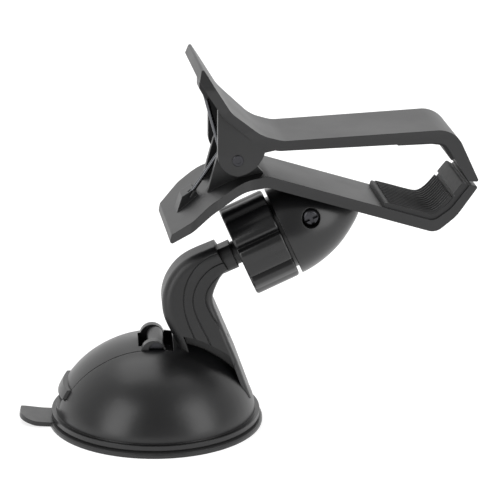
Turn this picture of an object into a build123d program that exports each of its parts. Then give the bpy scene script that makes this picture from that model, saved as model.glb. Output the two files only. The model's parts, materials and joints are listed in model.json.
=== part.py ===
"""Car phone mount: lever-locked suction base, curved arm, ball joint with a collar nut, and a sprung clip.

Frame: origin at the centre of the suction disc's underside, +Z up, the lever to -X and the arm to +X.
"""
from build123d import *
import math
import os

# ---- suction base (mm) ----
DISC_R = 38.0
DISC_RIM_T = 1.5
DISC_TOP = 3.2
DISC_PLATEAU_R = 34.0
TAB_W = 14.0
TAB_T = 1.6
TAB_END_X = -48.5
FLANGE_R = 37.0
FLANGE_Z = 2.5
DOME_R = 35.4
DOME_FOOT = 4.2
DOME_TOP = 31.0
DOME_POWER = 1.16
DOME_WALL = 2.2
SLAB_WALL = 5.8
SLAB_HALF = 12.6
CHANNEL_HALF = 10.3
CHANNEL_DEPTH = 3.6
CHANNEL_LOW = 10.8
WELL_X = (-6.6, 6.0)
WELL_FLOOR = 23.6
GUIDE_R = 5.4
GUIDE_LOW = 13.0
STEM_R = 3.0
SLIDE_GAP = 0.1

# ---- lock lever and its stem ----
PIN_Z = 29.4
PIN_R = 1.5
PIN_HEAD_R = 2.3
PIN_SUNK = 1.7
CAM_R = 4.4
CAM_OFFSET = 1.0
LEVER_HALF = 9.95
LEVER_T = 3.0
LEVER_INNER_X = -6.2
LEVER_LOW = 11.4
LIP_HIGH = 14.8
LIP_OUT = 1.1
EAR_INNER = 7.0
HEAD_HALF = 6.6
HEAD_X = 2.9
FOOT_R = 15.0
FOOT_Z = (5.6, 7.4)

# ---- arm ----
ARM_SIDE = [(9.6, 8.0), (9.6, 28.0), (8.4, 44.0), (7.0, 58.0), (6.8, 68.0)]
FRONT_ROUND = 3.5
BACK_ROUND = 2.2
ARM_WALL = 2.4
ARCH_RISE = 5.0
BOSS_R = 3.4
FOOT_INSET = (3.2, 1.8)
ARCH_DEPTH = 6.0
SLEEVE_R = 5.4
SLEEVE_HALF = 4.5
SLEEVE_END = -9.8
GROOVE_W = 0.5
GROOVE_D = 0.5

# ---- ball joint, on an axis that climbs from the arm to the clip ----
BALL_X = 36.45
BALL_Z = 65.5
AXIS_TILT = 24.0
CLIP_YAW = 4.3
BALL_R = 8.8
NECK_R = 4.2
SEAT_R = (8.9, 10.3)
RING_R = (10.6, 11.8)
SOCKET_R = 12.1
SPIGOT_R = 13.3
NUT_R = 16.5
NUT_BORE_R = 13.6
NUT_AXIAL = (-8.2, 8.2)
NUT_MOUTH_R = 10.6
LOBES = 8
BELL_FACE = 9.4
RIVET_HEAD_R = 1.95

# ---- clip ----
ARM_HALF = 14.25
PADDLE_HALF = 22.0
HINGE_X = -9.6
HINGE_Z = 34.1
HINGE_R = 1.5
CHEEK_T = 2.4
INNER_CHEEK = (6.4, 8.7)
COIL_R = 3.9
WIRE_R = 0.8
COIL_TURNS = 2
BEND_R = 1.0
PAD_T = 1.6


def face_xz(points):
    """Closed face in the XZ plane from straight runs."""
    return Plane.XZ * make_face(Polyline(*points, close=True))


def rounded_face(points, radii):
    """Closed face in the XZ plane whose corners are rounded."""
    return Plane.XZ * make_face(FilletPolyline(*points, radius=radii, close=True))


def slab(face, y_low, y_high):
    """Extrude a face of the XZ plane from one Y to another."""
    return extrude(Pos(0, y_high, 0) * face, amount=y_high - y_low)


def both_sides(solid):
    """A solid and its mirror image across the XZ plane."""
    return solid + mirror(solid, about=Plane.XZ)


def block(x, y, z):
    """Box from (low, high) pairs."""
    size = (x[1] - x[0], y[1] - y[0], z[1] - z[0])
    centre = ((x[0] + x[1]) / 2, (y[0] + y[1]) / 2, (z[0] + z[1]) / 2)
    return Pos(*centre) * Box(*size)


def rod_y(x, z, radius, y_low, y_high):
    """Cylinder along Y."""
    return Pos(x, (y_low + y_high) / 2, z) * Rot(90, 0, 0) * Cylinder(radius, y_high - y_low)


def drum(radius, z_low, z_high):
    """Cylinder about Z."""
    return Pos(0, 0, (z_low + z_high) / 2) * Cylinder(radius, z_high - z_low)


def dome_solid(inset):
    """Solid of the dome's curve, moved inwards by inset."""
    radius = DOME_R - inset
    rise = DOME_TOP - inset - DOME_FOOT
    steps = 8
    curve = []
    for k in range(steps + 1):
        angle = math.pi / 2 * k / steps
        curve.append((radius * math.cos(angle), DOME_FOOT + rise * math.sin(angle) ** DOME_POWER))
    top = Spline(*curve, tangents=[(0, 1), (-1, 0)])
    axis = Line((0, DOME_FOOT + rise), (0, DOME_FOOT))
    base = Line((0, DOME_FOOT), (radius, DOME_FOOT))
    return revolve(Plane.XZ * make_face(top + axis + base), Axis.Z)


def suction_disc():
    """Rubber disc with a raised middle and a pull tab that curls up."""
    disc = drum(DISC_R, 0, DISC_RIM_T) + drum(DISC_PLATEAU_R, 0, DISC_TOP)
    disc = chamfer(disc.edges().filter_by(GeomType.CIRCLE).group_by(Axis.Z)[1], 0.5)
    curl = [(-36.0, 0.0), (-40.5, 0.3), (TAB_END_X + 2.5, 1.4), (TAB_END_X, 2.7)]
    under = Spline(*curl, tangents=[(1, 0), (1, 0.7)])
    over = Spline(*[(x + 0.5, z + TAB_T) for x, z in reversed(curl)])
    end = Line(curl[-1], (TAB_END_X + 0.5, curl[-1][1] + TAB_T))
    root = Line((curl[0][0] + 0.5, TAB_T), curl[0])
    tongue = extrude(Plane.XZ * make_face(under + end + over + root), amount=TAB_W / 2, both=True)
    plan = Pos((TAB_END_X - 30) / 2, 0, 0) * Box(-30 - TAB_END_X, TAB_W, 20)
    plan = fillet(plan.edges().filter_by(Axis.Z).group_by(Axis.X)[0], TAB_W * 0.45)
    return disc + (tongue & plan)


def dome_cover():
    """Dome shell with a channel for the lever, a well for its cams and a guide for the stem."""
    slab_box = block((-40, WELL_X[1] + 2.4), (-SLAB_HALF, SLAB_HALF), (0, 40))
    outer = dome_solid(0) + drum(FLANGE_R, FLANGE_Z, DOME_FOOT)
    inner = (dome_solid(DOME_WALL) - slab_box) + (dome_solid(SLAB_WALL) & slab_box)
    inner += drum(DISC_PLATEAU_R + 0.3, FLANGE_Z - 1, DOME_FOOT)
    cover = outer - inner
    floor = block((WELL_X[0] - 2, WELL_X[1] + 2.4), (-SLAB_HALF, SLAB_HALF), (WELL_FLOOR - 2.4, WELL_FLOOR + 3))
    guide = drum(GUIDE_R, GUIDE_LOW, WELL_FLOOR)
    cover += floor & dome_solid(1.0)
    cover += guide
    channel = block((-40, WELL_X[0] + 1), (-CHANNEL_HALF, CHANNEL_HALF), (CHANNEL_LOW, 40))
    cover -= channel - dome_solid(CHANNEL_DEPTH)
    cover -= block(WELL_X, (-CHANNEL_HALF, CHANNEL_HALF), (WELL_FLOOR, 40))
    notch = block((-40, -20), (-7, 7), (6.4, CHANNEL_LOW + 0.1))
    cover -= notch - dome_solid(2.6)
    cover -= drum(STEM_R + SLIDE_GAP, 0, 40)
    for x, y in ARM_BOLTS:
        boss = Pos(x, y, 0) * drum(BOSS_R, bolt_seat(x), 40)
        cover += boss & dome_solid(1.0)
        cover -= Pos(x, y, 20) * Cylinder(1.3, 40)
    return cover


def lock_lever():
    """Curved strap that lies flush in the dome, with two cam ears around the pin."""
    strap = dome_solid(0) - dome_solid(LEVER_T)
    strap &= block((-40, -1.0), (-LEVER_HALF, LEVER_HALF), (LEVER_LOW, 40))
    strap -= block((LEVER_INNER_X, 5), (-EAR_INNER, EAR_INNER), (0, 40))
    lip = dome_solid(-LIP_OUT) - dome_solid(LEVER_T)
    lip &= block((-40, -20), (-LEVER_HALF, LEVER_HALF), (LEVER_LOW, LIP_HIGH))
    groove = dome_solid(-LIP_OUT - 1) - dome_solid(0.5)
    groove &= block((-40, -20), (-LEVER_HALF, LEVER_HALF), (LIP_HIGH, LIP_HIGH + 0.7))
    ear = rod_y(-CAM_OFFSET, PIN_Z - CAM_OFFSET, CAM_R, EAR_INNER, LEVER_HALF)
    lever = strap + lip - groove + both_sides(ear)
    lever -= rod_y(0, PIN_Z, PIN_R + 0.05, -12, 12)
    lever -= both_sides(rod_y(0, PIN_Z, PIN_HEAD_R + 0.3, LEVER_HALF - PIN_SUNK, 12))
    return lever


def lever_pin():
    """Pin through the stem's head and both ears, with a flat head at each end."""
    half = LEVER_HALF - PIN_SUNK + 0.05
    shaft = rod_y(0, PIN_Z, PIN_R, -half, half)
    head = rod_y(0, PIN_Z, PIN_HEAD_R, half, half + 0.6)
    return shaft + both_sides(head)


def lock_stem():
    """Stem that the cams pull up, with a cross head for the pin."""
    shaft = drum(STEM_R, FOOT_Z[1] - 0.8, WELL_FLOOR + 1)
    head = block((-HEAD_X, HEAD_X), (-HEAD_HALF, HEAD_HALF), (WELL_FLOOR + 2.4, PIN_Z))
    head += rod_y(0, PIN_Z, HEAD_X, -HEAD_HALF, HEAD_HALF)
    neck = drum(STEM_R, WELL_FLOOR, PIN_Z - 2)
    stem = shaft + neck + head - rod_y(0, PIN_Z, PIN_R, -12, 12)
    return stem - drum(1.25, 0, FOOT_Z[1] + 6)


def stem_plate():
    """Round plate that carries the middle of the disc."""
    plate = drum(FOOT_R, *FOOT_Z) - drum(STEM_R, FOOT_Z[1] - 0.8, FOOT_Z[1])
    plate -= drum(1.5, 0, 20)
    return plate - drum(2.6, FOOT_Z[0], FOOT_Z[0] + 0.7)


def stem_screw():
    """Screw that holds the plate to the stem."""
    return drum(2.4, FOOT_Z[0] + 0.05, FOOT_Z[0] + 0.7) + drum(1.25, FOOT_Z[0] + 0.5, FOOT_Z[1] + 5)


def stem_spring():
    """Return spring around the guide, between the well's floor and the plate."""
    wire = 0.55
    radius = GUIDE_R + 1.2
    low = FOOT_Z[1] + wire
    height = WELL_FLOOR - 2.4 - wire - low
    path = Pos(0, 0, low) * Helix(pitch=height / 4, height=height, radius=radius)
    section = Plane(path @ 0, z_dir=path % 0) * Circle(wire)
    return sweep(section, path=path, is_frenet=True)


# ---- arm: an S between the dome and the ball, seen from the side ----
AXIS_N = (math.cos(math.radians(AXIS_TILT)), math.sin(math.radians(AXIS_TILT)))
ARM_FRONT = [(10.6, 18.0), (6.9, 31.5), (3.0, 40.0), (2.6, 49.0), (8.2, 58.9), (20.6, 65.4)]
ARM_BACK = [(25.5, 56.9), (21.2, 51.6), (19.9, 46.8), (20.8, 43.2), (28.4, 24.6), (33.6, 10.0)]
ARM_BOLTS = [(14.5, -1.8), (19.5, 1.8), (24.5, -1.8)]
SCREW_POINTS = [(11.5, 44.0), (15.0, 56.0), (20.0, 34.0)]


def drawn_in(points, inset):
    """Points moved to the right of their run by inset, for an outline drawn clockwise."""
    moved = []
    for k, (x, z) in enumerate(points):
        before = points[max(k - 1, 0)]
        after = points[min(k + 1, len(points) - 1)]
        dx = after[0] - before[0]
        dz = after[1] - before[1]
        length = math.hypot(dx, dz)
        moved.append((x + inset * dz / length, z - inset * dx / length))
    return moved


def arm_face(front_inset, back_inset):
    """Side outline of the arm, drawn in at its front and its back."""
    front_points = drawn_in(ARM_FRONT, front_inset)
    back_points = drawn_in(ARM_BACK, back_inset)
    front = Spline(*front_points, tangents=[(-3.2, 10), (10, 4.45)])
    step = Line(front_points[-1], back_points[0])
    back = Spline(*back_points[:4], tangents=[(-10, -4.45), (0.9, -2.2)])
    leg = Polyline(*back_points[3:])
    foot = Line(back_points[-1], front_points[0])
    return Plane.XZ * make_face(front + step + back + leg + foot)


def arm_wedge(inset):
    """Front view of the arm, drawn in by inset on both sides, as a long solid along X."""
    side = [(y - inset, z) for y, z in ARM_SIDE]
    right = Line((side[0][0], 0), side[0]) + Spline(*side, tangents=[(0, 1), (0, 1)])
    right += Line(side[-1], (side[-1][0], 80))
    cap = Line((side[-1][0], 80), (-side[-1][0], 80)) + Line((-side[0][0], 0), (side[0][0], 0))
    return extrude(Plane.YZ * make_face(right + mirror(right, about=Plane.YZ) + cap), amount=60)


def rounded_arm():
    """Solid outside of the arm with its long corners rounded."""
    arm = extrude(arm_face(0, 0), amount=ARM_SIDE[0][0], both=True) & arm_wedge(0)
    sides = [edge for edge in arm.edges() if abs((edge @ 0.5).Y) > ARM_SIDE[-1][0] - 0.5 and edge.length > 12]
    front = [edge for edge in sides if (edge @ 0.5).X < 15]
    arm = fillet(front, FRONT_ROUND)
    sides = [edge for edge in arm.edges() if abs((edge @ 0.5).Y) > ARM_SIDE[-1][0] - 0.5 and edge.length > 12]
    back = [edge for edge in sides if (edge @ 0.5).X > 18 and (edge @ 0.5).Z > 16.5]
    return fillet(back, BACK_ROUND)


def groove(points):
    """Thin groove along both side faces of the arm."""
    ribbon = Plane.XZ * trace(Spline(*points), line_width=GROOVE_W)
    return extrude(ribbon, amount=20, both=True) - arm_wedge(GROOVE_D)


def arm_half(side):
    """One of the arm's two shells, hollow, with its foot shaped to the dome."""
    arm = rounded_arm()
    arm -= dome_solid(0)
    middle = extrude(arm_face(*FOOT_INSET), amount=20, both=True)
    arm -= (middle & dome_solid(-ARCH_RISE)) - arm_wedge(ARCH_DEPTH)
    sleeve = drum(SLEEVE_R, -16, SLEEVE_END) & block((-SLEEVE_HALF, SLEEVE_HALF), (-20, 20), (-20, 0))
    arm += at_ball(sleeve)
    for points in GROOVES:
        arm -= groove(points)
    hollow = extrude(arm_face(ARM_WALL, ARM_WALL), amount=20, both=True) & arm_wedge(ARM_WALL)
    hollow &= dome_solid(-60)
    hollow -= dome_solid(-3)
    hollow -= at_ball(drum(9, -28, -12))
    for x, z in SCREW_POINTS:
        hollow -= rod_y(x, z, 2.2, -12, 12)
    arm -= hollow
    arm -= at_ball(drum(NECK_R + 0.02, -19.5, 0))
    for x, y in ARM_BOLTS:
        arm -= Pos(x, y, 20) * Cylinder(1.3, 24)
    for x, z in SCREW_POINTS:
        arm -= rod_y(x, z, 1.0, -5, 12)
        arm -= rod_y(x, z, 2.0, 4, 12)
    if side > 0:
        return arm & block((0, 60), (0, 12), (0, 80))
    return arm & block((0, 60), (-12, 0), (0, 80))


def arm_screws():
    """Three screws that hold the shells together, driven from the far side."""
    screws = []
    for x, z in SCREW_POINTS:
        screws.append(rod_y(x, z, 0.95, -4.9, 4.5) + rod_y(x, z, 1.9, 4.1, 5.6))
    return Compound(children=screws)


def bolt_seat(x):
    """Height of the flat boss that an arm bolt's head bears on."""
    return dome_height(x + BOSS_R, DOME_WALL) - 0.5


def arm_bolts():
    """Screws from inside the dome up into the arm's foot."""
    bolts = []
    for x, y in ARM_BOLTS:
        seat = bolt_seat(x)
        bolts.append(Pos(x, y, 0) * (drum(2.4, seat - 1.5, seat) + drum(1.2, seat - 0.5, seat + 9)))
    return Compound(children=bolts)


def dome_height(x, inset):
    """Height of the dome's curve, moved in by inset, at a distance x from its axis."""
    share = 1 - (x / (DOME_R - inset)) ** 2
    return DOME_FOOT + (DOME_TOP - inset - DOME_FOOT) * share ** (DOME_POWER / 2)


# ---- ball joint, built about its own axis and then turned ----

def on_axis(shape):
    """Turn a shape built about Z onto the ball joint's axis."""
    return AXIS_PLANE * shape


def at_ball(shape):
    """Move a shape drawn about the joint's axis to the ball, in line with the arm."""
    return Pos(BALL_X, 0, BALL_Z) * on_axis(shape)


def place_clip(shape):
    """Move a piece from the clip's frame, whose origin is the ball's centre, to the object's frame."""
    return Location((BALL_X, 0, BALL_Z), (0, 0, CLIP_YAW)) * shape


def ball_stud():
    """Ball on a neck that is held between the arm's shells."""
    stud = Sphere(BALL_R) + drum(NECK_R, -19.5, 0)
    return at_ball(stud)


def cut_sphere(radii, low, high):
    """Spherical shell between two planes across the axis."""
    shell = Sphere(radii[1]) - Sphere(radii[0])
    return on_axis(shell & drum(20, low, high))


def ball_seat():
    """Plastic seat around the ball."""
    return place_clip(cut_sphere(SEAT_R, -4.4, 7.0))


def friction_ring():
    """Ring between the seat and the socket."""
    return place_clip(cut_sphere(RING_R, -4.2, 6.4))


def collar_nut():
    """Lobed nut that tightens the socket on the ball."""
    low, high = NUT_AXIAL
    body = drum(14.8, low, high)
    for k in range(LOBES):
        body += Rot(0, 0, (k + 0.5) * 360 / LOBES) * Pos(NUT_R - 7.0, 0, 0) * drum(7.0, low, high)
    envelope = drum(NUT_R, low, high)
    body &= chamfer(envelope.edges().filter_by(GeomType.CIRCLE), 0.8)
    body -= drum(NUT_BORE_R, low + 2.2, high + 1)
    body -= drum(NUT_MOUTH_R, low - 1, high)
    return place_clip(on_axis(body))


def bell_solid(inset):
    """Solid of the bell's curve, moved in by inset."""
    curve = [(16.1, BELL_FACE), (15.0, 18.0), (12.1, 26.1), (7.8, 33.0), (0.0, 38.6)]
    curve = [(max(r - inset, 0), z - inset * z / curve[-1][1]) for r, z in curve]
    side = Spline(*curve, tangents=[(0, 1), (-1, 0.25)])
    rest = Polyline(curve[-1], (0, curve[0][1]), curve[0])
    return revolve(Plane.XZ * make_face(side + rest), Axis.Z)


def above_jaw(gap):
    """Space above the lower jaw's underside."""
    low = [(x, z - gap) for x, z in JAW_UNDER]
    return slab(face_xz(low + [(90, 60), (-40, 60)]), -30, 30)


def socket_housing():
    """Bell that carries the threaded socket and is screwed to the lower jaw."""
    bell = bell_solid(0) - (bell_solid(2.2) & drum(40, 15.0, 60))
    bell += drum(SPIGOT_R, -3.2, BELL_FACE + 4)
    bell -= Sphere(SOCKET_R)
    housing = on_axis(bell) - above_jaw(0)
    for side in (-1, 1):
        housing -= rod_y(*HOUSING_SCREW, 3.3, *sorted((side * 11.6, side * 20)))
        housing -= rod_y(*HOUSING_SCREW, 1.3, *sorted((side * 8, side * 20)))
    return place_clip(housing)


def housing_screws():
    """Two cross-head screws, one on each side of the bell."""
    x, z = HOUSING_SCREW
    head = rod_y(x, z, 3.1, 11.65, 13.4)
    head = fillet(head.edges().group_by(Axis.Y)[-1], 0.8)
    cross = block((x - 1.9, x + 1.9), (12.3, 14), (z - 0.35, z + 0.35))
    cross += block((x - 0.35, x + 0.35), (12.3, 14), (z - 1.9, z + 1.9))
    screw = head + rod_y(x, z, 1.2, 5, 12) - Pos(x, 0, z) * Rot(0, 30, 0) * Pos(-x, 0, -z) * cross
    other = mirror(screw, about=Plane.XZ)
    return place_clip(Compound(children=[screw, other]))


# ---- clip ----

def lower_jaw():
    """Fixed jaw: thumb paddle, inner cheeks, straight arm and upturned tip."""
    plate = slab(rounded_face(JAW_LOW, JAW_LOW_RADII), -PADDLE_HALF - 2, PADDLE_HALF + 2)
    plate &= plan_solid(LOW_PLAN)
    outline = slab(face_xz(INNER_CHEEK_FACE), *INNER_CHEEK) + rod_y(HINGE_X, HINGE_Z, 6.2, *INNER_CHEEK)
    jaw = plate + both_sides(outline)
    jaw += slab(face_xz(LOW_POCKET), -3.6, 3.6)
    lug = block((9, 23), (-8.5, 8.5), (6.5, 30)) & on_axis(bell_solid(2.5) & drum(40, 15.3, 60))
    jaw += lug - above_jaw(-0.5)
    jaw -= both_sides(rod_y(*HOUSING_SCREW, 1.25, 4.5, 20))
    jaw -= rod_y(HINGE_X, HINGE_Z, HINGE_R + 0.02, -20, 20)
    jaw -= leg_rod(*LOW_LEG, WIRE_R + LEG_PLAY, LEG_PLAY)
    return place_clip(jaw)


def upper_jaw():
    """Moving jaw: thumb paddle, outer cheeks, straight arm and downturned tip."""
    plate = slab(rounded_face(JAW_UP, JAW_UP_RADII), -PADDLE_HALF - 2, PADDLE_HALF + 2)
    plate &= front_solid(UP_PLAN)
    cheek = slab(cheek_face(), ARM_HALF - CHEEK_T, ARM_HALF)
    jaw = plate + both_sides(cheek)
    jaw += slab(face_xz(UP_POCKET), -3.6, 3.6)
    jaw -= rod_y(HINGE_X, HINGE_Z, HINGE_R + 0.05, -20, 20)
    jaw -= leg_rod(*UP_LEG, WIRE_R + LEG_PLAY, LEG_PLAY)
    return place_clip(jaw)


def cheek_face():
    """Side outline of an outer cheek, with its round lug."""
    lug = ThreePointArc((-16.5, 36.4), (-14.2, 30.6), (-9.6, 28.4))
    lug += ThreePointArc((-9.6, 28.4), (-4.0, 30.9), (-0.3, 36.6))
    rest = Polyline((-0.3, 36.6), (3.3, 37.3), (5.8, 39.5), (-1.4, 42.0), (-12.5, 51.5), (-17.6, 55.3),
                    (-16.5, 53.0), (-16.5, 36.4))
    return Plane.XZ * make_face(lug + rest)


def plan_solid(right):
    """Tall solid whose half widths along X are given, with a curved flank."""
    left = [(x, -y) for x, y in reversed(right)]
    outline = FilletPolyline(*right, *left, radius=PLAN_RADII + PLAN_RADII[::-1], close=True)
    return extrude(make_face(outline), amount=80, both=True)


def front_solid(right):
    """Long solid along X whose half widths along Z are given."""
    points = [(y, z) for z, y in right]
    left = [(-y, z) for y, z in reversed(points)]
    outline = FilletPolyline(*points, *left, radius=PLAN_RADII + PLAN_RADII[::-1], close=True)
    return extrude(Plane.YZ * make_face(outline), amount=120, both=True)


def hinge_pin():
    """Rivet that joins the jaws."""
    shaft = rod_y(HINGE_X, HINGE_Z, HINGE_R, -ARM_HALF - 0.1, ARM_HALF + 0.1)
    head = rod_y(HINGE_X, HINGE_Z, RIVET_HEAD_R, ARM_HALF + 0.06, ARM_HALF + 0.45)
    head = chamfer(head.edges().group_by(Axis.Y)[-1], 0.2)
    head -= rod_y(HINGE_X, HINGE_Z, RIVET_HEAD_R - 0.9, ARM_HALF + 0.25, ARM_HALF + 1)
    return place_clip(shaft + both_sides(head))


def hinge_washers():
    """Two spacers between the inner and outer cheeks."""
    ring = rod_y(HINGE_X, HINGE_Z, 3.2, INNER_CHEEK[1], ARM_HALF - CHEEK_T - 0.35)
    ring -= rod_y(HINGE_X, HINGE_Z, HINGE_R + 0.02, 0, 20)
    other = mirror(ring, about=Plane.XZ)
    return place_clip(Compound(children=[ring, other]))


def spring_sleeve():
    """Tube that the coil sits on."""
    sleeve = rod_y(HINGE_X, HINGE_Z, 2.6, -INNER_CHEEK[0] + 0.1, INNER_CHEEK[0] - 0.1)
    return place_clip(sleeve - rod_y(HINGE_X, HINGE_Z, HINGE_R + 0.02, -20, 20))


def leg_angle(end, side):
    """Angle on the coil where the straight leg to end leaves it; side picks the tangent."""
    dx = end[0] - HINGE_X
    dz = end[1] - HINGE_Z
    return math.atan2(dz, dx) + side * math.acos(COIL_R / math.hypot(dx, dz))


def leg_rod(end, side, y, radius, back):
    """Rod along a leg, from back mm before the coil's tangent point to the leg's end."""
    angle = leg_angle(end, side)
    start = Vector(HINGE_X + COIL_R * math.cos(angle), y, HINGE_Z + COIL_R * math.sin(angle))
    stop = Vector(end[0], y, end[1])
    direction = (stop - start).normalized()
    section = Plane(start - direction * back, z_dir=direction) * Circle(radius)
    return extrude(section, amount=(stop - start).length + back)


def torsion_spring():
    """Coil around the sleeve with a leg to each paddle."""
    first = leg_angle(*LOW_LEG[:2])
    last = leg_angle(*UP_LEG[:2])
    turns = COIL_TURNS + math.degrees(first - last) % 360 / 360
    length = UP_LEG[2] - LOW_LEG[2]
    path = Helix(pitch=length / turns, height=length, radius=COIL_R)
    path = Pos(HINGE_X, LOW_LEG[2], HINGE_Z) * Rot(0, -math.degrees(first), 0) * Rot(-90, 0, 0) * path
    section = Plane(path @ 0, z_dir=path % 0) * Circle(WIRE_R)
    spring = sweep(section, path=path, is_frenet=True)
    spring += leg_rod(*LOW_LEG, WIRE_R, 0) + leg_rod(*UP_LEG, WIRE_R, 0)
    for bend in (path @ 0, path @ 1):
        spring += Pos(*bend) * Sphere(BEND_R)
    return place_clip(spring)


def lower_pad():
    """Ribbed rubber pad inside the lower jaw."""
    pad = slab(rounded_face(PAD_LOW, PAD_LOW_RADII), -ARM_HALF + 0.6, ARM_HALF - 0.6)
    pad -= slab(rounded_face(JAW_LOW, JAW_LOW_RADII), -ARM_HALF, ARM_HALF)
    return place_clip(pad)


def upper_pad():
    """Rubber pad inside the upper jaw."""
    pad = slab(rounded_face(PAD_UP, PAD_UP_RADII), -ARM_HALF + 2.0, ARM_HALF - 2.0)
    pad -= slab(rounded_face(JAW_UP, JAW_UP_RADII), -ARM_HALF, ARM_HALF)
    return place_clip(pad)


AXIS_PLANE = Plane(origin=(0, 0, 0), x_dir=(-AXIS_N[1], 0, AXIS_N[0]), z_dir=(AXIS_N[0], 0, AXIS_N[1]))
GROOVES = [
    [(23.0, 64.0), (12.6, 57.0), (9.6, 47.2), (11.3, 38.5), (14.5, 31.0)],
    [(24.3, 60.5), (15.2, 54.0), (12.9, 47.1), (14.6, 40.2), (20.2, 27.2)],
    [(25.2, 57.6), (19.6, 53.0), (17.4, 48.2), (18.4, 43.6), (26.9, 22.4)],
]
HOUSING_SCREW = (16.1, 12.3)
JAW_UNDER = [(-40, 24.2), (1.0, 23.9), (5.0, 22.8), (53.6, 7.6), (90, -3.8)]
JAW_LOW = [(-33.7, 5.8), (-18.5, 18.2), (-9.0, 22.6), (1.0, 24.1), (5.0, 22.8), (53.6, 7.6), (60.0, 5.6),
           (67.2, 11.4), (74.6, 21.9), (71.8, 22.7), (65.2, 14.2), (59.2, 10.0), (54.8, 11.3), (5.0, 26.9),
           (1.0, 28.2), (-9.5, 26.2), (-19.4, 21.7), (-32.9, 9.8)]
JAW_LOW_RADII = [0.6, 25, 18, 4, 2, 12, 5, 14, 0.6, 0.6, 10, 4, 4, 2, 4, 18, 25, 0.6]
JAW_UP = [(-22.4, 68.2), (-12.6, 52.4), (-1.4, 42.6), (6.0, 40.5), (55.8, 42.5), (65.8, 42.9), (74.9, 23.6),
          (71.0, 23.9), (62.4, 37.7), (58.0, 38.2), (4.0, 37.0), (-3.6, 39.6), (-15.2, 50.4), (-23.6, 63.6)]
JAW_UP_RADII = [0.6, 12, 14, 10, 20, 9.5, 0.6, 0.6, 4, 3, 8, 14, 12, 0.6]
PLAN_RADII = [1.0, 8.0, 6.0, 3.0, 3.0]
LOW_PLAN = [(90, ARM_HALF), (-5.5, ARM_HALF), (-17.0, 21.5), (-26.0, 23.4), (-34.5, 17.2)]
UP_PLAN = [(0, ARM_HALF), (42.5, ARM_HALF), (53.5, 20.9), (61.5, 22.6), (69.5, 17.0)]
INNER_CHEEK_FACE = [(-20.3, 18.0), (-15.8, 34.8), (-9.6, 40.0), (-3.8, 36.2), (-2.4, 30.7), (0.1, 27.9),
                    (2.6, 26.4), (-9.5, 24.5)]
LOW_POCKET = [(-30.0, 10.8), (-27.6, 18.6), (-23.6, 21.2), (-20.8, 18.2)]
UP_POCKET = [(-17.0, 55.2), (-19.2, 52.8), (-21.6, 57.0), (-21.6, 62.2)]
LOW_LEG = ((-25.0, 18.6), -1, -2.4)
UP_LEG = ((-19.8, 57.0), 1, 2.4)
LEG_PLAY = 0.35
PAD_LOW = [(41.5, 15.3), (54.8, 11.1), (59.2, 9.9), (65.4, 14.1), (71.5, 22.2), (69.2, 23.6), (65.9, 19.5),
           (66.6, 18.9), (64.0, 15.6), (58.8, 11.9), (55.2, 13.0), (42.0, 17.1)]
PAD_LOW_RADII = [0.2, 4, 4, 10, 0.2, 0.8, 0.4, 0.2, 8, 3, 3, 0.5]
PAD_UP = [(45.8, 38.4), (58.0, 38.6), (62.7, 38.1), (66.6, 31.8), (65.2, 31.0), (61.6, 36.7), (58.0, 37.2),
          (46.0, 37.0)]
PAD_UP_RADII = [0.2, 3, 3, 0.2, 0.5, 2, 2, 0.5]

PARTS = {
    "suction_disc": suction_disc,
    "dome_cover": dome_cover,
    "lock_lever": lock_lever,
    "lever_pin": lever_pin,
    "lock_stem": lock_stem,
    "stem_plate": stem_plate,
    "stem_screw": stem_screw,
    "stem_spring": stem_spring,
    "arm_shell_near": lambda: arm_half(-1),
    "arm_shell_far": lambda: arm_half(1),
    "arm_screws": arm_screws,
    "arm_bolts": arm_bolts,
    "ball_stud": ball_stud,
    "ball_seat": ball_seat,
    "friction_ring": friction_ring,
    "collar_nut": collar_nut,
    "socket_housing": socket_housing,
    "housing_screws": housing_screws,
    "lower_jaw": lower_jaw,
    "lower_pad": lower_pad,
    "upper_jaw": upper_jaw,
    "upper_pad": upper_pad,
    "hinge_pin": hinge_pin,
    "hinge_washers": hinge_washers,
    "spring_sleeve": spring_sleeve,
    "torsion_spring": torsion_spring,
}

os.makedirs("parts", exist_ok=True)
for name, make in PARTS.items():
    export_step(make(), f"parts/{name}.step")
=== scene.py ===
"""Looks of a car phone mount: moulded black plastic, ribbed rubber and spring steel around the CAD frame."""

import json
import math

import bmesh
import bpy
from mathutils import Euler, Matrix, Vector


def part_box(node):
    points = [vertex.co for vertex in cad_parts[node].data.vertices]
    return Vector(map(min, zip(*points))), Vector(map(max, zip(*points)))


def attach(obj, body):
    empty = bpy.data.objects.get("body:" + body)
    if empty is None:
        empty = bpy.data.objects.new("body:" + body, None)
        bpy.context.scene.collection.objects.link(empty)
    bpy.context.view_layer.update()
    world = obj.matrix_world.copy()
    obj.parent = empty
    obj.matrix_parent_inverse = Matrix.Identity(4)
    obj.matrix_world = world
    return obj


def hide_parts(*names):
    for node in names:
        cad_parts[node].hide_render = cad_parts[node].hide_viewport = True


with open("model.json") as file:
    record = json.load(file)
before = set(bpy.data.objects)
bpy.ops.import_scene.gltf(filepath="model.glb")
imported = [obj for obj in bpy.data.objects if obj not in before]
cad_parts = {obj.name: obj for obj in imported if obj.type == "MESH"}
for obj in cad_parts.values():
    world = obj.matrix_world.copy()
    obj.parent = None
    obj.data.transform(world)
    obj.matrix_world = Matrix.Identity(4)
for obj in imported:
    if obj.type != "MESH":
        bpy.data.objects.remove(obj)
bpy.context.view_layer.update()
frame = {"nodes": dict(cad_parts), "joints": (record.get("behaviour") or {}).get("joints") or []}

bl_info = {
    "name": "Car phone mount",
    "version": (1, 0, 0),
    "blender": (4, 5, 0),
    "location": "View3D > Sidebar > Phone Mount",
    "description": "Builds the finishes and fine pieces of a suction phone mount",
    "category": "Object",
}

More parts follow.
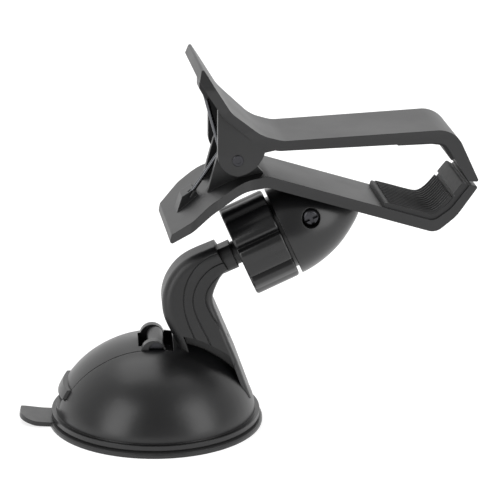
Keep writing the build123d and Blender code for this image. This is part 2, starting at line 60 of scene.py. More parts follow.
MM = 0.001
JOINTS = {joint["name"]: joint for joint in frame["joints"]}
BALL = Vector(JOINTS["ball_turn"]["pos_m"])
TURN_AXIS = Vector(JOINTS["ball_turn"]["axis"])
CLIP_YAW = math.atan2(TURN_AXIS.y, TURN_AXIS.x)
CLIP_PLACE = Matrix.Translation(BALL) @ Matrix.Rotation(CLIP_YAW, 4, "Z")
AXIS_TILT = math.asin(TURN_AXIS.z)


def in_clip(x, y, z):
    """Point of the clip, given in mm from the ball's centre before the clip's yaw."""
    return CLIP_PLACE @ Vector((x * MM, y * MM, z * MM))


# ---------------------------------------------------------------- sizes and colours a user may change

class PhoneMountFinish(bpy.types.PropertyGroup):
    """Colours and grain of the mouldings."""
    plastic: bpy.props.StringProperty(
        name="Plastic colour", description="sRGB hex of the moulded black plastic", default="#0C0C0D")
    grip: bpy.props.StringProperty(
        name="Collar colour", description="sRGB hex of the collar nut and ball housing", default="#0D0D0E")
    rubber: bpy.props.StringProperty(
        name="Rubber colour", description="sRGB hex of the pads", default="#111112")
    disc: bpy.props.StringProperty(
        name="Disc colour", description="sRGB hex of the suction disc", default="#161617")
    steel: bpy.props.StringProperty(
        name="Steel colour", description="sRGB hex of the spring steel", default="#606164")
    edge_round: bpy.props.FloatProperty(
        name="Edge rounding", description="Radius worn onto moulded edges", default=0.00035,
        min=0.0, max=0.001, unit="LENGTH", subtype="DISTANCE")


class PhoneMountPads(bpy.types.PropertyGroup):
    """Ribs of the rubber pads."""
    rib_count: bpy.props.IntProperty(
        name="Ribs", description="Ribs across a pad", default=13, min=3, max=30)
    rib_pitch: bpy.props.FloatProperty(
        name="Rib pitch", description="Distance between ribs", default=0.0021, unit="LENGTH",
        subtype="DISTANCE")
    rib_radius: bpy.props.FloatProperty(
        name="Rib radius", description="Radius of a rib's crown", default=0.0009, unit="LENGTH",
        subtype="DISTANCE")


class PhoneMountCollar(bpy.types.PropertyGroup):
    """Shape of the collar nut."""
    lobes: bpy.props.IntProperty(
        name="Lobes", description="Finger lobes round the nut", default=8, min=4, max=16)
    radius: bpy.props.FloatProperty(
        name="Radius", description="Radius over the lobes", default=0.0165, unit="LENGTH",
        subtype="DISTANCE")
    groove: bpy.props.FloatProperty(
        name="Groove depth", description="Depth of the groove between lobes", default=0.0015, unit="LENGTH",
        subtype="DISTANCE")


class PhoneMountScrews(bpy.types.PropertyGroup):
    """Cross-head screws."""
    head_radius: bpy.props.FloatProperty(
        name="Head radius", description="Radius of a housing screw's head", default=0.0031, unit="LENGTH",
        subtype="DISTANCE")
    head_height: bpy.props.FloatProperty(
        name="Head height", description="Height of a head before its crown is flattened", default=0.0022,
        unit="LENGTH", subtype="DISTANCE")
    slot_width: bpy.props.FloatProperty(
        name="Cross width", description="Width of the cross recess", default=0.0012, unit="LENGTH",
        subtype="DISTANCE")


class PhoneMountSpring(bpy.types.PropertyGroup):
    """Torsion spring between the thumb paddles."""
    coil_radius: bpy.props.FloatProperty(
        name="Coil radius", description="Radius to the middle of the wire", default=0.0039, unit="LENGTH",
        subtype="DISTANCE")
    wire_radius: bpy.props.FloatProperty(
        name="Wire radius", description="Radius of the spring wire", default=0.0008, unit="LENGTH",
        subtype="DISTANCE")
    turns: bpy.props.IntProperty(
        name="Turns", description="Full turns round the pin", default=2, min=1, max=6)


class PhoneMountStage(bpy.types.PropertyGroup):
    """Camera and light."""
    azimuth: bpy.props.FloatProperty(
        name="Azimuth", description="Camera's turn round the object", default=math.radians(4.0),
        subtype="ANGLE", unit="ROTATION")
    elevation: bpy.props.FloatProperty(
        name="Elevation", description="Camera's height angle", default=math.radians(18.33), subtype="ANGLE",
        unit="ROTATION")
    roll: bpy.props.FloatProperty(
        name="Roll", description="Camera's roll", default=math.radians(0.43), subtype="ANGLE",
        unit="ROTATION")
    distance: bpy.props.FloatProperty(
        name="Distance", description="From the camera to the frame's origin", default=0.9295, unit="LENGTH",
        subtype="DISTANCE")
    lens: bpy.props.FloatProperty(
        name="Lens", description="Focal length in mm", default=187.2, min=20, max=300)
    floor: bpy.props.StringProperty(
        name="Floor colour", description="sRGB hex of the floor", default="#B4B4B4")
    floor_glow: bpy.props.FloatProperty(
        name="Floor glow", description="Light from the lit table under the floor", default=0.68, min=0, max=2)


GROUPS = {
    "pm_finish": PhoneMountFinish,
    "pm_pads": PhoneMountPads,
    "pm_collar": PhoneMountCollar,
    "pm_screws": PhoneMountScrews,
    "pm_spring": PhoneMountSpring,
    "pm_stage": PhoneMountStage,
}


# ---------------------------------------------------------------- small tools

def linear(code):
    """sRGB hex to linear RGBA."""
    out = []
    for k in (1, 3, 5):
        value = int(code[k:k + 2], 16) / 255
        out.append(value / 12.92 if value <= 0.04045 else ((value + 0.055) / 1.055) ** 2.4)
    return (*out, 1.0)


def add(tree, kind, settings=None, inputs=None):
    """Add a node with its settings, and its inputs as values or links from (node, output)."""
    node = tree.nodes.new(kind)
    for key, value in (settings or {}).items():
        setattr(node, key, value)
    for key, value in (inputs or {}).items():
        if isinstance(value, tuple) and isinstance(value[0], bpy.types.Node):
            tree.links.new(value[0].outputs[value[1]], node.inputs[key])
        else:
            node.inputs[key].default_value = value
    return node


def scaled(colour, share, blue_share=None):
    """Linear colour made lighter or darker, with its own share for blue where that differs."""
    return (colour[0] * share, colour[1] * share, colour[2] * (blue_share or share), 1)


def per_mm(size_mm):
    """Noise scale of a pattern whose features are size_mm across."""
    return 1 / (size_mm * MM)


def new_material(name):
    """Empty node material with its output; returns the material, tree and output."""
    material = bpy.data.materials.new(name)
    material.use_nodes = True
    tree = material.node_tree
    tree.nodes.clear()
    return material, tree, add(tree, "ShaderNodeOutputMaterial")


def mesh_piece(name, mesh, material, body):
    """Object from a mesh, riding on a body."""
    piece = bpy.data.objects.new(name, mesh)
    bpy.context.scene.collection.objects.link(piece)
    mesh.materials.clear()
    mesh.materials.append(material)
    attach(piece, body)
    return piece


def baked(host):
    """Plain mesh of a host object's modifiers; the host is removed."""
    bpy.context.view_layer.update()
    evaluated = host.evaluated_get(bpy.context.evaluated_depsgraph_get())
    mesh = bpy.data.meshes.new_from_object(evaluated)
    host.modifiers.clear()
    bpy.data.objects.remove(host)
    return mesh


def new_tree(name, sockets):
    """Geometry node group with a geometry input and output and the named inputs in sockets."""
    tree = bpy.data.node_groups.new(name, "GeometryNodeTree")
    tree.interface.new_socket("Geometry", in_out="INPUT", socket_type="NodeSocketGeometry")
    for socket_name, kind in sockets:
        tree.interface.new_socket(socket_name, in_out="INPUT", socket_type=kind)
    tree.interface.new_socket("Geometry", in_out="OUTPUT", socket_type="NodeSocketGeometry")
    return tree, add(tree, "NodeGroupInput")


def close_tree(tree, last, group_in):
    """End a tree in Realize Instances and Set Material."""
    real = add(tree, "GeometryNodeRealizeInstances", None, {"Geometry": last})
    painted = add(tree, "GeometryNodeSetMaterial", None,
                  {"Geometry": (real, "Geometry"), "Material": (group_in, "Material")})
    add(tree, "NodeGroupOutput", None, {"Geometry": (painted, "Geometry")})


def swept_round(tree, group_in, radius_name, resolution):
    """The tree's incoming curve as a round bar with closed ends."""
    section = add(tree, "GeometryNodeCurvePrimitiveCircle", None,
                  {"Resolution": resolution, "Radius": (group_in, radius_name)})
    return add(tree, "GeometryNodeCurveToMesh", None,
               {"Curve": (group_in, "Geometry"), "Profile Curve": (section, "Curve"), "Fill Caps": True})


def run_tree(host, tree, values):
    """Put a tree on a host with its inputs set by identifier, and return the plain mesh."""
    modifier = host.modifiers.new(tree.name, "NODES")
    modifier.node_group = tree
    for item in tree.interface.items_tree:
        if item.item_type == "SOCKET" and item.in_out == "INPUT" and item.name in values:
            modifier[item.identifier] = values[item.name]
    return baked(host)


# ---------------------------------------------------------------- materials

FLOW_MM = 1000 / 45          # width of the faint clouds where the melt cooled unevenly
SKIN_GRAIN_MM = 1000 / 3500  # rubber skin
DRAW_MARK_MM = 1000 / 1800   # marks of the drawing die, drawn coarser than the real ones so that they show


def moulded_plastic(name, colour, roughness, grain_mm, edge_round):
    """Injection-moulded ABS with a spark-eroded grain: an even satin sheen, with a painted highlight that
    lightens the colour on sharp convex edges.

    The real grain is under 0.1 mm across, so it is drawn coarser to show.
    """
    material, tree, out = new_material(name)
    place = add(tree, "ShaderNodeTexCoord")
    grain = add(tree, "ShaderNodeTexNoise", {"noise_dimensions": "3D"}, {
        "Vector": (place, "Object"), "Scale": per_mm(grain_mm * 2), "Detail": 3.0, "Roughness": 0.6})
    flow = add(tree, "ShaderNodeTexNoise", {"noise_dimensions": "3D"},
               {"Vector": (place, "Object"), "Scale": per_mm(FLOW_MM), "Detail": 4.0, "Roughness": 0.55})
    shade = add(tree, "ShaderNodeValToRGB", None, {"Fac": (flow, "Fac")})
    base = linear(colour)
    shade.color_ramp.elements[0].position = 0.3
    shade.color_ramp.elements[0].color = scaled(base, 0.86)
    shade.color_ramp.elements[1].position = 0.72
    shade.color_ramp.elements[1].color = scaled(base, 1.12, 1.13)
    edges = add(tree, "ShaderNodeNewGeometry")
    # Painted highlight: sharp convex edges, found by pointiness, get a lighter base colour that stands in for
    # the light they catch.
    edge_highlight_mask = add(tree, "ShaderNodeMapRange", None,
               {"Value": (edges, "Pointiness"), "From Min": 0.53, "From Max": 0.62, "To Max": 0.35})
    edge_highlighted = add(tree, "ShaderNodeMix", {"data_type": "RGBA"},
               {"Factor": (edge_highlight_mask, "Result"), "A": (shade, "Color"), "B": scaled(base, 3.0)})
    polish = add(tree, "ShaderNodeMapRange", None,
                 {"Value": (flow, "Fac"), "From Min": 0.3, "From Max": 0.7,
                  "To Min": roughness - 0.035, "To Max": roughness + 0.035})
    rounded = add(tree, "ShaderNodeBevel", {"samples": 4}, {"Radius": edge_round})
    bump = add(tree, "ShaderNodeBump", None, {
        "Strength": 0.10, "Distance": 0.00006, "Height": (grain, "Fac"), "Normal": (rounded, "Normal")})
    shader = add(tree, "ShaderNodeBsdfPrincipled", None,
                 {"Base Color": (edge_highlighted, "Result"), "Roughness": (polish, "Result"), "IOR": 1.52,
                  "Normal": (bump, "Normal")})
    tree.links.new(shader.outputs["BSDF"], out.inputs["Surface"])
    return material


def moulded_rubber(name, colour, roughness, bloom_mm):
    """Compression-moulded rubber: soft, wide sheen with a faint dusty bloom."""
    material, tree, out = new_material(name)
    place = add(tree, "ShaderNodeTexCoord")
    bloom = add(tree, "ShaderNodeTexNoise", {"noise_dimensions": "3D"},
                {"Vector": (place, "Object"), "Scale": per_mm(bloom_mm), "Detail": 5.0, "Roughness": 0.65})
    base = linear(colour)
    shade = add(tree, "ShaderNodeValToRGB", None, {"Fac": (bloom, "Fac")})
    shade.color_ramp.elements[0].position = 0.32
    shade.color_ramp.elements[0].color = scaled(base, 0.85)
    shade.color_ramp.elements[1].position = 0.75
    shade.color_ramp.elements[1].color = scaled(base, 1.2, 1.22)
    polish = add(tree, "ShaderNodeMapRange", None,
                 {"Value": (bloom, "Fac"), "From Min": 0.3, "From Max": 0.7,
                  "To Min": roughness - 0.05, "To Max": roughness + 0.05})
    grain = add(tree, "ShaderNodeTexNoise", {"noise_dimensions": "3D"},
                {"Vector": (place, "Object"), "Scale": per_mm(SKIN_GRAIN_MM), "Detail": 2.0})
    bump = add(tree, "ShaderNodeBump", None,
               {"Strength": 0.08, "Distance": 0.00005, "Height": (grain, "Fac")})
    shader = add(tree, "ShaderNodeBsdfPrincipled", None,
                 {"Base Color": (shade, "Color"), "Roughness": (polish, "Result"), "IOR": 1.5,
                  "Sheen Weight": 0.12, "Sheen Roughness": 0.5, "Normal": (bump, "Normal")})
    tree.links.new(shader.outputs["BSDF"], out.inputs["Surface"])
    return material


def drawn_steel(name, colour, roughness):
    """Cold-drawn or turned steel: fine marks along the work and a tight reflection."""
    material, tree, out = new_material(name)
    place = add(tree, "ShaderNodeTexCoord")
    marks = add(tree, "ShaderNodeTexNoise", {"noise_dimensions": "3D"},
                {"Vector": (place, "Object"), "Scale": per_mm(DRAW_MARK_MM), "Detail": 4.0, "Roughness": 0.7})
    base = linear(colour)
    shade = add(tree, "ShaderNodeValToRGB", None, {"Fac": (marks, "Fac")})
    shade.color_ramp.elements[0].color = scaled(base, 0.8)
    shade.color_ramp.elements[1].color = base
    polish = add(tree, "ShaderNodeMapRange", None,
                 {"Value": (marks, "Fac"), "To Min": roughness - 0.06, "To Max": roughness + 0.1})
    shader = add(tree, "ShaderNodeBsdfPrincipled", None,
                 {"Base Color": (shade, "Color"), "Roughness": (polish, "Result"), "Metallic": 1.0})
    tree.links.new(shader.outputs["BSDF"], out.inputs["Surface"])
    return material


MATERIALS = {}


def make_materials(finish):
    """All finishes by the record's slot names."""
    for slot, name, colour, roughness, grain_mm in (
            ("satin_black", "abs_satin_black", finish.plastic, 0.42, 0.35),
            ("lever_black", "abs_lever_black", finish.plastic, 0.36, 0.35),
            ("dark_grip", "abs_polished_collar", finish.grip, 0.3, 0.5),
            ("base_gloss", "abs_dome_sheen", finish.grip, 0.33, 0.5),
            ("black_acetal", "acetal_black", finish.grip, 0.34, 0.5)):
        MATERIALS[slot] = moulded_plastic(name, colour, roughness, grain_mm, finish.edge_round)
    MATERIALS["pad_rubber"] = moulded_rubber("nitrile_pad_matt", finish.rubber, 0.62, 2.0)
    MATERIALS["base_rubber"] = moulded_rubber("soft_pvc_disc", finish.disc, 0.4, 6.0)
    MATERIALS["black_steel"] = drawn_steel("steel_black_oxide", "#424245", 0.3)
    MATERIALS["bright_steel"] = drawn_steel("steel_spring_drawn", finish.steel, 0.24)


NODE_FINISH = {
    "suction_disc": "base_rubber", "dome_cover": "base_gloss", "lock_lever": "lever_black",
    "lever_pin": "black_steel", "lock_stem": "satin_black", "stem_plate": "bright_steel",
    "stem_screw": "bright_steel", "stem_spring": "bright_steel", "arm_shell_near": "satin_black",
    "arm_shell_far": "satin_black", "arm_screws": "black_steel", "arm_bolts": "bright_steel",
    "ball_stud": "satin_black", "ball_seat": "black_acetal", "friction_ring": "black_acetal",
    "collar_nut": "dark_grip", "socket_housing": "dark_grip", "housing_screws": "black_steel",
    "lower_jaw": "satin_black", "lower_pad": "pad_rubber", "upper_jaw": "satin_black",
    "upper_pad": "pad_rubber", "hinge_pin": "black_steel", "hinge_washers": "black_acetal",
    "spring_sleeve": "black_acetal", "torsion_spring": "bright_steel",
}


class PHONEMOUNT_OT_finishes(bpy.types.Operator):
    """Make every finish and give it to the CAD parts that stay"""
    bl_idname = "phonemount.finishes"
    bl_label = "Finishes on the mouldings"

    def execute(self, context):
        make_materials(context.scene.pm_finish)
        for node, finish in NODE_FINISH.items():
            part = frame["nodes"][node]
            for slot in part.material_slots:
                slot.material = MATERIALS[finish]
            if not part.material_slots:
                raise RuntimeError(f"{node} has no material slot")
        return {"FINISHED"}


# ---------------------------------------------------------------- ribbed pads

LOW_RIB_PATH = [(x, 0, z) for x, z in (
    (43.4, 16.3), (48.0, 15.0), (53.0, 13.4), (57.6, 12.1),
    (59.9, 12.6), (62.2, 14.3), (64.2, 16.5), (65.5, 18.1))]


def rib_tree():
    """Ribs side by side: the host curve swept with a round section and repeated across the pad."""
    tree, group_in = new_tree("pad_ribs", [("Ribs", "NodeSocketInt"), ("Pitch", "NodeSocketVector"),
                                           ("Start", "NodeSocketVector"), ("Rib Radius", "NodeSocketFloat"),
                                           ("Material", "NodeSocketMaterial")])
    swept = swept_round(tree, group_in, "Rib Radius", 12)
    places = add(tree, "GeometryNodeMeshLine", {"mode": "OFFSET"}, {
        "Count": (group_in, "Ribs"), "Start Location": (group_in, "Start"), "Offset": (group_in, "Pitch")})
    ribs = add(tree, "GeometryNodeInstanceOnPoints", None,
               {"Points": (places, "Mesh"), "Instance": (swept, "Mesh")})
    close_tree(tree, (ribs, "Instances"), group_in)
    return tree


def clip_curve(name, points, kind):
    """Host curve of one open spline, NURBS or POLY, through the clip's points."""
    data = bpy.data.curves.new(name, "CURVE")
    data.dimensions = "3D"
    data.resolution_u = 6
    spline = data.splines.new(kind)
    spline.points.add(len(points) - 1)
    for point, place in zip(spline.points, points):
        point.co = (*in_clip(*place), 1)
    if kind == "NURBS":
        spline.order_u = 3
        spline.use_endpoint_u = True
    host = bpy.data.objects.new(name, data)
    bpy.context.scene.collection.objects.link(host)
    return host


class PHONEMOUNT_OT_pads(bpy.types.Operator):
    """Ribs moulded along the lower pad"""
    bl_idname = "phonemount.pads"
    bl_label = "Pad ribs"

    def execute(self, context):
        pads = context.scene.pm_pads
        across = Matrix.Rotation(CLIP_YAW, 3, "Z") @ Vector((0, 1, 0))
        start = -across * pads.rib_pitch * (pads.rib_count - 1) / 2
        mesh = run_tree(clip_curve("rib_path", LOW_RIB_PATH, "NURBS"), rib_tree(), {
            "Ribs": pads.rib_count, "Pitch": across * pads.rib_pitch, "Start": start,
            "Rib Radius": pads.rib_radius, "Material": MATERIALS["pad_rubber"]})
        mesh.shade_smooth()
        mesh_piece("lower_pad_ribs", mesh, MATERIALS["pad_rubber"], "clamp")
        return {"FINISHED"}


# ---------------------------------------------------------------- collar nut

NUT_HALF = 0.0082       # half of the nut's length
ROLL = 0.0009           # radius rolled onto both ends
LOBE_CROWN = 0.0006     # how far a lobe swells
LOBE_MARGIN = 0.0003    # what the crown is allowed to add to the radius
GROOVE_SPREAD = 0.0009  # half width of a groove
SKIRT_BORE = 0.0136     # bore round the housing's spigot
NECK_BORE = 0.0106      # bore round the arm's neck
BORE_EDGE = 0.0002      # broken edges of the bores
LEDGE = 0.0022          # thickness of the wall between the bores
NECK_MOUTH = 0.0004     # the neck bore opens this much towards the arm
ROLL_STEPS = 5
AROUND = 240


def lobe_radius(angle, collar):
    """Radius of the nut's skin: crowned lobes with a narrow groove between each pair."""
    step = math.tau / collar.lobes
    across = (angle / step) % 1.0 - 0.5
    arc = abs(across) * step * collar.radius
    crown = LOBE_CROWN * (0.5 - abs(abs(across) - 0.25) * 2)
    groove = collar.groove * math.exp(-(arc / GROOVE_SPREAD) ** 2)
    return collar.radius - LOBE_MARGIN + crown - groove


def nut_profile():
    """Section of the nut as (radius, axial place, on the lobed skin); skin radii count from the lobes."""
    skin = []
    for k in range(ROLL_STEPS):
        turn = math.pi / 2 * k / (ROLL_STEPS - 1)
        skin.append((-ROLL * (1 - math.sin(turn)), -NUT_HALF + ROLL * (1 - math.cos(turn)), True))
    skin += [(radius, -axial, True) for radius, axial, _ in reversed(skin)]
    bore = [(SKIRT_BORE + BORE_EDGE, NUT_HALF), (SKIRT_BORE, NUT_HALF - BORE_EDGE),
            (SKIRT_BORE, -NUT_HALF + LEDGE), (NECK_BORE + BORE_EDGE, -NUT_HALF + LEDGE),
            (NECK_BORE, -NUT_HALF + LEDGE - BORE_EDGE), (NECK_BORE, -NUT_HALF + NECK_MOUTH),
            (NECK_BORE + NECK_MOUTH, -NUT_HALF)]
    return skin + [(radius, axial, False) for radius, axial in bore]


class PHONEMOUNT_OT_collar(bpy.types.Operator):
    """Lobed collar nut with rolled edges"""
    bl_idname = "phonemount.collar"
    bl_label = "Collar nut"

    def execute(self, context):
        collar = context.scene.pm_collar
        to_world = CLIP_PLACE @ Matrix.Rotation(math.pi / 2 - AXIS_TILT, 4, "Y")
        mesh_build = bmesh.new()
        rings = []
        for radius, axial, outer in nut_profile():
            ring = []
            for k in range(AROUND):
                angle = math.tau * k / AROUND
                reach = lobe_radius(angle, collar) + radius if outer else radius
                ring.append(mesh_build.verts.new(
                    to_world @ Vector((reach * math.cos(angle), reach * math.sin(angle), axial))))
            rings.append(ring)
        for ring, following in zip(rings, rings[1:] + rings[:1]):
            for k in range(AROUND):
                beyond = (k + 1) % AROUND
                mesh_build.faces.new((ring[k], ring[beyond], following[beyond], following[k]))
        bmesh.ops.recalc_face_normals(mesh_build, faces=mesh_build.faces)
        mesh = bpy.data.meshes.new("collar_nut_skin")
        mesh_build.to_mesh(mesh)
        mesh_build.free()
        mesh.shade_smooth()
        mesh.set_sharp_from_angle(angle=math.radians(50))
        piece = mesh_piece("collar_nut_skin", mesh, MATERIALS["dark_grip"], "collar")
        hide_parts("collar_nut")
        return {"FINISHED"}


# ---------------------------------------------------------------- screws

HOUSING_SCREW = (16.1, 12.3)    # x and z in the clip
SCREW_SUNK = 0.0016             # head's seat below the housing's skin
FLAT_CROWN = 0.72               # share of the height where the crown is cut flat
CROSS_TURN = math.radians(28)   # way the driver left the cross
CROSS_REACH = 1.5               # length of a bar in head radii


def screw_tree():
    """Cross-head screws on the host's points, each turned to the point's stored axis."""
    tree, group_in = new_tree("cross_head_screws", [
        ("Head Radius", "NodeSocketFloat"), ("Head Height", "NodeSocketFloat"),
        ("Slot Width", "NodeSocketFloat"), ("Material", "NodeSocketMaterial")])
    head = add(tree, "GeometryNodeMeshUVSphere", None, {"Segments": 48, "Rings": 24, "Radius": 1.0})
    bar_long = add(tree, "ShaderNodeMath", {"operation": "MULTIPLY"},
                   {0: (group_in, "Head Radius"), 1: CROSS_REACH})
    size = add(tree, "ShaderNodeCombineXYZ", None, {
        "X": (group_in, "Head Radius"), "Y": (group_in, "Head Radius"), "Z": (group_in, "Head Height")})
    swell = add(tree, "GeometryNodeTransform", None,
                {"Geometry": (head, "Mesh"), "Scale": (size, "Vector")})
    spot = add(tree, "GeometryNodeInputPosition")
    axes = add(tree, "ShaderNodeSeparateXYZ", None, {"Vector": (spot, "Position")})
    crown = add(tree, "ShaderNodeMath", {"operation": "MULTIPLY"},
                {0: (group_in, "Head Height"), 1: FLAT_CROWN})
    capped = add(tree, "ShaderNodeMath", {"operation": "MINIMUM"}, {0: (axes, "Z"), 1: (crown, "Value")})
    level = add(tree, "ShaderNodeCombineXYZ", None,
                {"X": (axes, "X"), "Y": (axes, "Y"), "Z": (capped, "Value")})
    domed = add(tree, "GeometryNodeSetPosition", None,
                {"Geometry": (swell, "Geometry"), "Position": (level, "Vector")})
    bar_size = add(tree, "ShaderNodeCombineXYZ", None, {
        "X": (bar_long, "Value"), "Y": (group_in, "Slot Width"), "Z": (group_in, "Head Height")})
    bar = add(tree, "GeometryNodeMeshCube", None, {"Size": (bar_size, "Vector")})
    lift = add(tree, "ShaderNodeCombineXYZ", None, {"Z": (crown, "Value")})
    bar_high = add(tree, "GeometryNodeTransform", None, {
        "Geometry": (bar, "Mesh"), "Translation": (lift, "Vector"), "Rotation": Euler((0, 0, CROSS_TURN))})
    bar_cross = add(tree, "GeometryNodeTransform", None,
                    {"Geometry": (bar_high, "Geometry"), "Rotation": Euler((0, 0, math.pi / 2))})
    cut = add(tree, "GeometryNodeMeshBoolean", {"operation": "DIFFERENCE", "solver": "EXACT"},
              {"Mesh 1": (domed, "Geometry")})
    tree.links.new(bar_high.outputs["Geometry"], cut.inputs["Mesh 2"])
    tree.links.new(bar_cross.outputs["Geometry"], cut.inputs["Mesh 2"])
    axis = add(tree, "GeometryNodeInputNamedAttribute", {"data_type": "FLOAT_VECTOR"}, {"Name": "head_axis"})
    turned = add(tree, "FunctionNodeAlignRotationToVector", {"axis": "Z"}, {"Vector": (axis, "Attribute")})
    placed = add(tree, "GeometryNodeInstanceOnPoints", None, {
        "Points": (group_in, "Geometry"), "Instance": (cut, "Mesh"), "Rotation": (turned, "Rotation")})
    close_tree(tree, (placed, "Instances"), group_in)
    return tree


def point_host(name, places):
    """Host of loose points, each with the way its screw faces."""
    mesh = bpy.data.meshes.new(name)
    mesh.from_pydata([place for place, _ in places], [], [])
    axes = mesh.attributes.new("head_axis", "FLOAT_VECTOR", "POINT")
    for item, (_, axis) in zip(axes.data, places):
        item.vector = axis
    host = bpy.data.objects.new(name, mesh)
    bpy.context.scene.collection.objects.link(host)
    return host


class PHONEMOUNT_OT_screws(bpy.types.Operator):
    """Cross-head screws in the ball housing"""
    bl_idname = "phonemount.screws"
    bl_label = "Housing screws"

    def execute(self, context):
        screws = context.scene.pm_screws
        low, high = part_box("housing_screws")
        side = Matrix.Rotation(CLIP_YAW, 3, "Z") @ Vector((0, 1, 0))
        middle = in_clip(HOUSING_SCREW[0], 0, HOUSING_SCREW[1])
        reach = (Vector(high) - Vector(low)).y / 2 / side.y - SCREW_SUNK
        places = [(middle - side * reach, -side), (middle + side * reach, side)]
        mesh = run_tree(point_host("screw_points", places), screw_tree(), {
            "Head Radius": screws.head_radius, "Head Height": screws.head_height,
            "Slot Width": screws.slot_width, "Material": MATERIALS["black_steel"]})
        mesh.shade_smooth()
        mesh.set_sharp_from_angle(angle=math.radians(35))
        piece = mesh_piece("housing_screw_heads", mesh, MATERIALS["black_steel"], "clamp")
        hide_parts("housing_screws")
        return {"FINISHED"}


# ---------------------------------------------------------------- torsion spring

# Ends of the legs in the clip, and the side of the coil that each leaves from.
LOW_LEG, LOW_SIDE = (-25.0, -2.4, 18.6), -1
HIGH_LEG, HIGH_SIDE = (-19.8, 2.4, 57.0), 1
COIL_STEPS = 96


def wire_tree():
    """Round wire swept along the host curve, with closed ends."""
    tree, group_in = new_tree("drawn_wire", [("Wire Radius", "NodeSocketFloat"),
                                             ("Material", "NodeSocketMaterial")])
    swept = swept_round(tree, group_in, "Wire Radius", 16)
    close_tree(tree, (swept, "Mesh"), group_in)
    return tree


def wire_piece(name, points, radius, body):
    """Spring wire through the clip's points."""
    mesh = run_tree(clip_curve(name, points, "POLY"), wire_tree(), {
        "Wire Radius": radius, "Material": MATERIALS["bright_steel"]})
    mesh.shade_smooth()
    mesh.set_sharp_from_angle(angle=math.radians(60))
    return mesh_piece(name, mesh, MATERIALS["bright_steel"], body)


class PHONEMOUNT_OT_spring(bpy.types.Operator):
    """Torsion spring: its coil and lower leg stay put, and its upper leg swings with the upper jaw"""
    bl_idname = "phonemount.spring"
    bl_label = "Torsion spring"

    def execute(self, context):
        spring = context.scene.pm_spring
        coil = spring.coil_radius / MM
        pin = CLIP_PLACE.inverted() @ Vector(JOINTS["jaw_hinge"]["pos_m"]) / MM

        def touch_angle(leg, side):
            """Angle on the coil where the line to a leg's end touches it."""
            dx, dz = leg[0] - pin.x, leg[2] - pin.z
            return math.atan2(dz, dx) + side * math.acos(coil / math.hypot(dx, dz))

        first, last = touch_angle(LOW_LEG, LOW_SIDE), touch_angle(HIGH_LEG, HIGH_SIDE)
        sweep = spring.turns * math.tau + (first - last) % math.tau
        wound = []
        for k in range(COIL_STEPS + 1):
            share = k / COIL_STEPS
            angle = first - sweep * share
            wound.append((pin.x + coil * math.cos(angle), LOW_LEG[1] + (HIGH_LEG[1] - LOW_LEG[1]) * share,
                          pin.z + coil * math.sin(angle)))
        low = wire_piece("spring_coil", [LOW_LEG] + wound, spring.wire_radius, "clamp")
        high = wire_piece("spring_upper_leg", [wound[-1], HIGH_LEG], spring.wire_radius, "upper")
        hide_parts("torsion_spring")
        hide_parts("torsion_spring")
        return {"FINISHED"}


# ---------------------------------------------------------------- stage

FLOOR_HALF = 6.0
CENTRE_SHIFT = (0.03368, 0.05988)   # what the camera looks at, right of and above the frame's origin
SKY_FRONT, SKY_BACK = 0.38, 1.25    # the room is darker towards the camera
LIGHT_AIM = (0.03, 0, 0.06)
LIGHTS = (                          # name, place, size in metres, power in watts
    ("box_left", (-1.05, -0.9, 0.62), (0.8, 1.5), 11),
    ("box_right", (1.15, -0.85, 0.62), (0.8, 1.5), 11),
    ("box_top", (0.05, 0.35, 1.5), (1.8, 1.0), 9),
)


def soft_light(name, place, aim, size, power):
    """Square soft box facing a point."""
    data = bpy.data.lights.new(name, "AREA")
    data.shape = "RECTANGLE"
    data.size, data.size_y = size
    data.energy = power
    light = bpy.data.objects.new(name, data)
    bpy.context.scene.collection.objects.link(light)
    light.location = place
    light.rotation_euler = (Vector(aim) - Vector(place)).to_track_quat("-Z", "Y").to_euler()


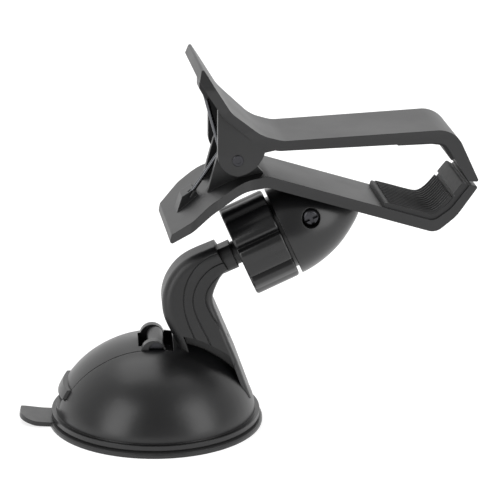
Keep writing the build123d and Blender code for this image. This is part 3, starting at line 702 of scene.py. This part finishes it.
class PHONEMOUNT_OT_stage(bpy.types.Operator):
    """Pale floor, soft boxes and the camera"""
    bl_idname = "phonemount.stage"
    bl_label = "Stage"

    def execute(self, context):
        stage = context.scene.pm_stage
        mesh = bpy.data.meshes.new("floor")
        corners = [(x * FLOOR_HALF, y * FLOOR_HALF, 0) for x, y in ((-1, -1), (1, -1), (1, 1), (-1, 1))]
        mesh.from_pydata(corners, [], [(0, 1, 2, 3)])
        floor = bpy.data.objects.new("floor", mesh)
        context.scene.collection.objects.link(floor)
        material, tree, out = new_material("matt_paper_floor")
        place = add(tree, "ShaderNodeTexCoord")
        fibre = add(tree, "ShaderNodeTexNoise", None, {"Vector": (place, "Object"), "Scale": 300.0})
        bump = add(tree, "ShaderNodeBump", None,
                   {"Strength": 0.02, "Distance": 0.0002, "Height": (fibre, "Fac")})
        shader = add(tree, "ShaderNodeBsdfPrincipled", None, {
            "Base Color": linear(stage.floor), "Roughness": 0.9, "Specular IOR Level": 0.1,
            "Emission Color": (1, 1, 1, 1), "Emission Strength": stage.floor_glow,
            "Normal": (bump, "Normal")})
        tree.links.new(shader.outputs["BSDF"], out.inputs["Surface"])
        mesh.materials.append(material)

        a, e, roll = stage.azimuth, stage.elevation, stage.roll
        right = Vector((math.cos(a), -math.sin(a), 0))
        ahead = Vector((math.sin(a) * math.cos(e), math.cos(a) * math.cos(e), -math.sin(e)))
        up = right.cross(ahead)
        right_rolled = right * math.cos(roll) + up * math.sin(roll)
        up_rolled = up * math.cos(roll) - right * math.sin(roll)
        data = bpy.data.cameras.new("camera")
        data.lens = stage.lens
        data.sensor_width = 36.0
        data.clip_start = 0.01
        camera = bpy.data.objects.new("camera", data)
        context.scene.collection.objects.link(camera)
        centre = right_rolled * CENTRE_SHIFT[0] + up_rolled * CENTRE_SHIFT[1] - ahead * stage.distance
        turn = Matrix((right_rolled, up_rolled, -ahead)).transposed()
        camera.matrix_world = Matrix.Translation(centre) @ turn.to_4x4()
        context.scene.camera = camera

        world = bpy.data.worlds.new("studio")
        world.use_nodes = True
        sky = world.node_tree
        way = add(sky, "ShaderNodeTexCoord")
        parts = add(sky, "ShaderNodeSeparateXYZ", None, {"Vector": (way, "Generated")})
        depth = add(sky, "ShaderNodeMapRange", {"interpolation_type": "SMOOTHSTEP"}, {
            "Value": (parts, "Y"), "From Min": -0.5, "From Max": 0.8,
            "To Min": SKY_FRONT, "To Max": SKY_BACK})
        sky.links.new(depth.outputs["Result"], sky.nodes["Background"].inputs["Strength"])
        sky.nodes["Background"].inputs["Color"].default_value = (1, 1, 1, 1)
        context.scene.world = world
        context.scene.view_settings.view_transform = "Standard"
        for name, place, size, power in LIGHTS:
            soft_light(name, place, LIGHT_AIM, size, power)
        return {"FINISHED"}


# ---------------------------------------------------------------- panel and registration

OPERATORS = (PHONEMOUNT_OT_finishes, PHONEMOUNT_OT_pads, PHONEMOUNT_OT_collar, PHONEMOUNT_OT_screws,
             PHONEMOUNT_OT_spring, PHONEMOUNT_OT_stage)


class PHONEMOUNT_PT_panel(bpy.types.Panel):
    """Sizes, colours and build steps of the phone mount"""
    bl_idname = "PHONEMOUNT_PT_panel"
    bl_label = "Phone Mount"
    bl_space_type = "VIEW_3D"
    bl_region_type = "UI"
    bl_category = "Phone Mount"

    def draw(self, context):
        for group in GROUPS:
            values = getattr(context.scene, group)
            column = self.layout.column(align=True)
            for name in values.bl_rna.properties.keys():
                if name not in ("rna_type", "name"):
                    column.prop(values, name)
        for operator in OPERATORS:
            self.layout.operator(operator.bl_idname)


def register():
    for name, group in GROUPS.items():
        bpy.utils.register_class(group)
        setattr(bpy.types.Scene, name, bpy.props.PointerProperty(type=group))
    for item in (*OPERATORS, PHONEMOUNT_PT_panel):
        bpy.utils.register_class(item)


def unregister():
    for item in (PHONEMOUNT_PT_panel, *reversed(OPERATORS)):
        bpy.utils.unregister_class(item)
    for name, group in GROUPS.items():
        delattr(bpy.types.Scene, name)
        bpy.utils.unregister_class(group)


def main():
    register()
    bpy.ops.phonemount.finishes()
    bpy.ops.phonemount.pads()
    bpy.ops.phonemount.collar()
    bpy.ops.phonemount.screws()
    bpy.ops.phonemount.spring()
    bpy.ops.phonemount.stage()
    bpy.context.view_layer.update()


if __name__ == "__main__":
    main()
